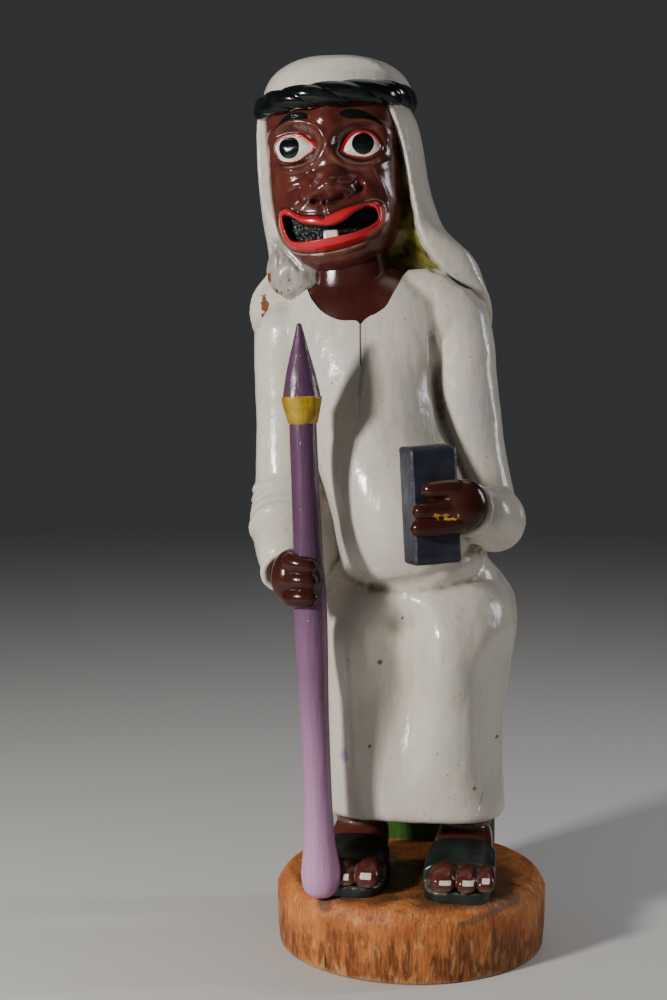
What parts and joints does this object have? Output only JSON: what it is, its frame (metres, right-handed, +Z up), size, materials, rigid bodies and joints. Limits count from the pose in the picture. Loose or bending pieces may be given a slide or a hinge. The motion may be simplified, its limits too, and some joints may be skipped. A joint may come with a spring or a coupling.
{
  "type": "shetani carving",
  "caption": "Painted wooden carving of a seated spirit figure in robe and headcloth on a round log base, holding a staff and a block.",
  "frame": {"origin": "middle of the round base's underside", "axes": "+Z up, the figure's front faces -Y, +X to the viewer's right"},
  "size_m": [0.2713, 0.2442, 0.7857],
  "materials": {
    "painted_carving": "gloss",
    "staff_paint": "satin",
    "block_paint": "matte",
    "robe_paint": "gloss",
    "skin_paint": "gloss",
    "black_paint": "gloss",
    "stool_paint": "satin",
    "stained_base": "matte"
  },
  "bodies": {
    "root": {"carved_figure": "painted_carving", "staff": "staff_paint", "held_block": "block_paint"}
  },
  "joints": []
}
